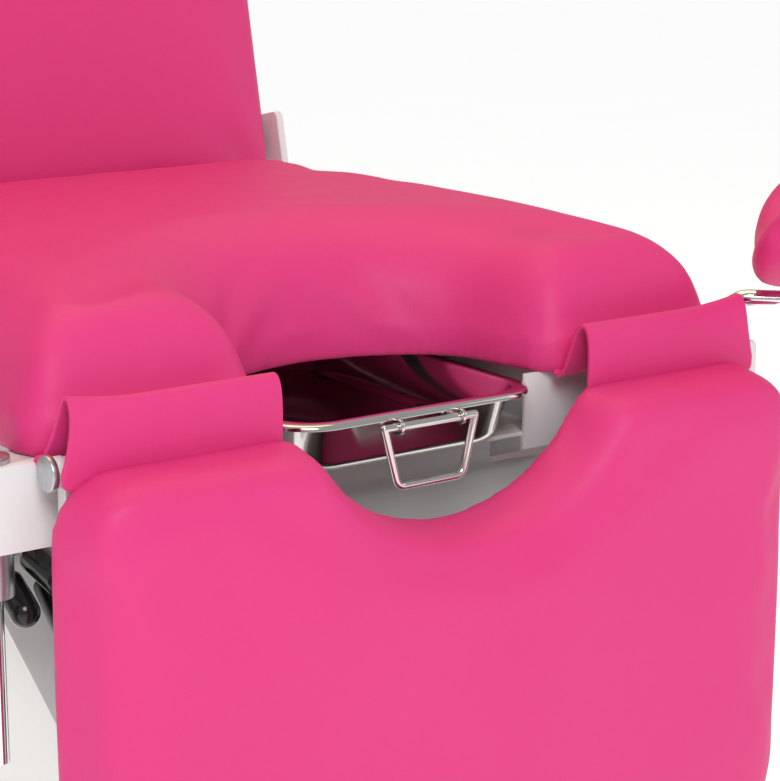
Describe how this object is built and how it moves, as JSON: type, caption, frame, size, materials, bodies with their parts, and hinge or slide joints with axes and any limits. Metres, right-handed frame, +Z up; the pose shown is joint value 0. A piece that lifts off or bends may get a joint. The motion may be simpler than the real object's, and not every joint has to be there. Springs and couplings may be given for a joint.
{
  "type": "gynecological examination chair",
  "caption": "Padded examination chair with a U-cut seat, reclining back, folding leg rest, sliding drain pan and swivelling knee crutches on a pedestal.",
  "frame": {"origin": "on the floor under the middle of the whole chair", "axes": "+X to the chair's right seen from the front, +Y towards the backrest, +Z up"},
  "size_m": [1.1442, 1.0573, 1.4798],
  "materials": {
    "white_paint": "gloss",
    "zinc": "satin",
    "feet_rubber": "matte",
    "plywood": "matte",
    "pink_vinyl": "satin",
    "pink_sheet": "satin",
    "polished_steel": "polished",
    "black_tube": "gloss",
    "bright_rod": "polished",
    "black_grip": "gloss"
  },
  "bodies": {
    "base": {"base_front_foot": "white_paint", "base_rear_foot": "white_paint", "base_runners": "white_paint", "rubber_feet": "feet_rubber", "column": "white_paint", "base_fasteners": "zinc", "cradle_front_plate": "white_paint", "cradle_rear_plate": "white_paint", "cradle_sides": "white_paint", "tilt_bearings": "white_paint"},
    "seat": {"right_rail": "white_paint", "left_rail": "white_paint", "right_front_beam": "white_paint", "left_front_beam": "white_paint", "tilt_crossbar": "white_paint", "mid_crossbar": "white_paint", "rear_crossbar": "white_paint", "spring_anchors": "white_paint", "leg_rest_lugs": "white_paint", "backrest_brackets": "white_paint", "hinge_pins": "zinc", "lever_bracket": "white_paint", "back_spring_cylinder": "black_tube", "leg_spring_cylinder": "black_tube", "right_pan_runner": "white_paint", "left_pan_runner": "white_paint", "seat_board": "plywood", "seat_cushion": "pink_vinyl", "right_flap": "pink_sheet", "left_flap": "pink_sheet"},
    "leg_rest": {"leg_rest_board": "plywood", "leg_rest_cushion": "pink_vinyl", "leg_rest_frame": "white_paint"},
    "backrest": {"backrest_board": "plywood", "backrest_cushion": "pink_vinyl", "backrest_frame": "white_paint"},
    "pan": {"drain_pan": "polished_steel", "pan_lugs": "polished_steel"},
    "front_handle": {"front_pan_handle": "polished_steel"},
    "rear_handle": {"rear_pan_handle": "polished_steel"},
    "back_rod": {"back_spring_rod": "bright_rod"},
    "leg_rod": {"leg_spring_rod": "bright_rod"},
    "tilt_cylinder": {"tilt_spring_cylinder": "black_tube"},
    "tilt_rod": {"tilt_spring_rod": "bright_rod"},
    "tilt_lever": {"seat_tilt_lever_rod": "bright_rod", "seat_tilt_lever_grip": "black_grip"},
    "back_lever": {"backrest_lever_rod": "bright_rod", "backrest_lever_grip": "black_grip"},
    "leg_lever": {"leg_rest_lever_rod": "bright_rod", "leg_rest_lever_grip": "black_grip"},
    "left_bush": {"left_support_bush": "zinc"},
    "left_knob": {"left_clamp_knob": "black_grip"},
    "left_support": {"left_support_rod": "bright_rod"},
    "left_crutch": {"left_crutch_clamp": "white_paint", "left_crutch_pad": "pink_vinyl"},
    "right_bush": {"right_support_bush": "zinc"},
    "right_knob": {"right_clamp_knob": "black_grip"},
    "right_support": {"right_support_rod": "bright_rod"},
    "right_crutch": {"right_crutch_clamp": "white_paint", "right_crutch_pad": "pink_vinyl"}
  },
  "joints": [
    {"name": "seat_tilt", "type": "hinge", "parent": "base", "child": "seat", "pos_m": [0, -0.038, 0.73], "axis": [-1, 0, 0], "range_deg": [0, 15]},
    {"name": "leg_rest_fold", "type": "hinge", "parent": "seat", "child": "leg_rest", "pos_m": [0, -0.33, 0.757], "axis": [-1, 0, 0], "range_deg": [0, 80], "deforming": ["right_flap", "left_flap"]},
    {"name": "backrest_recline", "type": "hinge", "parent": "seat", "child": "backrest", "pos_m": [0, 0.352, 0.81], "axis": [-1, 0, 0], "range_deg": [0, 78]},
    {"name": "pan_slide", "type": "slide", "parent": "seat", "child": "pan", "axis": [0, 1, 0], "range_m": [0, 0.09]},
    {"name": "front_handle_swing", "type": "hinge", "parent": "pan", "child": "front_handle", "pos_m": [0, -0.3345, 0.748], "axis": [-1, 0, 0], "range_deg": [0, 100]},
    {"name": "rear_handle_swing", "type": "hinge", "parent": "pan", "child": "rear_handle", "pos_m": [0, 0.0185, 0.748], "axis": [1, 0, 0], "range_deg": [0, 90]},
    {"name": "tilt_lever_pull", "type": "hinge", "parent": "seat", "child": "tilt_lever", "pos_m": [-0.29, -0.218, 0.688], "axis": [-1, 0, 0], "range_deg": [0, 6], "stiffness_Nm_per_rad": 5, "springref_deg": -17.19},
    {"name": "back_lever_pull", "type": "hinge", "parent": "seat", "child": "back_lever", "pos_m": [-0.308, -0.218, 0.688], "axis": [-1, 0, 0], "range_deg": [0, 6], "stiffness_Nm_per_rad": 5, "springref_deg": -17.19},
    {"name": "leg_lever_pull", "type": "hinge", "parent": "seat", "child": "leg_lever", "pos_m": [-0.275, -0.218, 0.688], "axis": [-1, 0, 0], "range_deg": [0, 6], "stiffness_Nm_per_rad": 5, "springref_deg": -17.19},
    {"name": "left_support_swivel", "type": "hinge", "parent": "seat", "child": "left_bush", "pos_m": [-0.333, -0.29, 0.76], "axis": [0, 0, 1], "range_deg": [-30, 60]},
    {"name": "left_knob_turn", "type": "hinge", "parent": "left_bush", "child": "left_knob", "pos_m": [-0.333, -0.29, 0.6832], "axis": [-0.866, 0.5, 0], "range_deg": [-180, 0]},
    {"name": "left_support_height", "type": "slide", "parent": "left_bush", "child": "left_support", "axis": [0, 0, 1], "range_m": [-0.048, 0.08]},
    {"name": "left_crutch_roll", "type": "hinge", "parent": "left_support", "child": "left_crutch", "pos_m": [-0.333, -0.29, 0.8435], "axis": [-1, 0, 0], "range_deg": [-20, 20]},
    {"name": "right_support_swivel", "type": "hinge", "parent": "seat", "child": "right_bush", "pos_m": [0.333, -0.29, 0.76], "axis": [0, 0, 1], "range_deg": [-45, 30]},
    {"name": "right_knob_turn", "type": "hinge", "parent": "right_bush", "child": "right_knob", "pos_m": [0.333, -0.29, 0.6832], "axis": [0.866, 0.5, 0], "range_deg": [-180, 0]},
    {"name": "right_support_height", "type": "slide", "parent": "right_bush", "child": "right_support", "axis": [0, 0, 1], "range_m": [0, 0.15]},
    {"name": "right_crutch_roll", "type": "hinge", "parent": "right_support", "child": "right_crutch", "pos_m": [0.333, -0.29, 0.7955], "axis": [0.7071, -0.7071, 0], "range_deg": [-20, 20]},
    {"name": "back_spring_stroke", "type": "slide", "parent": "seat", "child": "back_rod", "axis": [0, 0.873, 0.4877], "range_m": [-0.0928, 0]},
    {"name": "leg_spring_stroke", "type": "slide", "parent": "seat", "child": "leg_rod", "axis": [0, -0.9986, 0.0521], "range_m": [0, 0.0558]},
    {"name": "tilt_spring_swing", "type": "hinge", "parent": "base", "child": "tilt_cylinder", "pos_m": [0, -0.138, 0.31], "axis": [1, 0, 0], "range_deg": [0, 3.9]},
    {"name": "tilt_spring_stroke", "type": "slide", "parent": "tilt_cylinder", "child": "tilt_rod", "axis": [0, 0, 1], "range_m": [0, 0.0295]}
  ],
  "couplings": [
    {"joint": "back_spring_stroke", "follows": "backrest_recline", "m_per_rad": -0.068087},
    {"joint": "leg_spring_stroke", "follows": "leg_rest_fold", "m_per_rad": 0.039923},
    {"joint": "tilt_spring_swing", "follows": "seat_tilt", "ratio": 0.25642},
    {"joint": "tilt_spring_stroke", "follows": "seat_tilt", "m_per_rad": 0.11225}
  ]
}
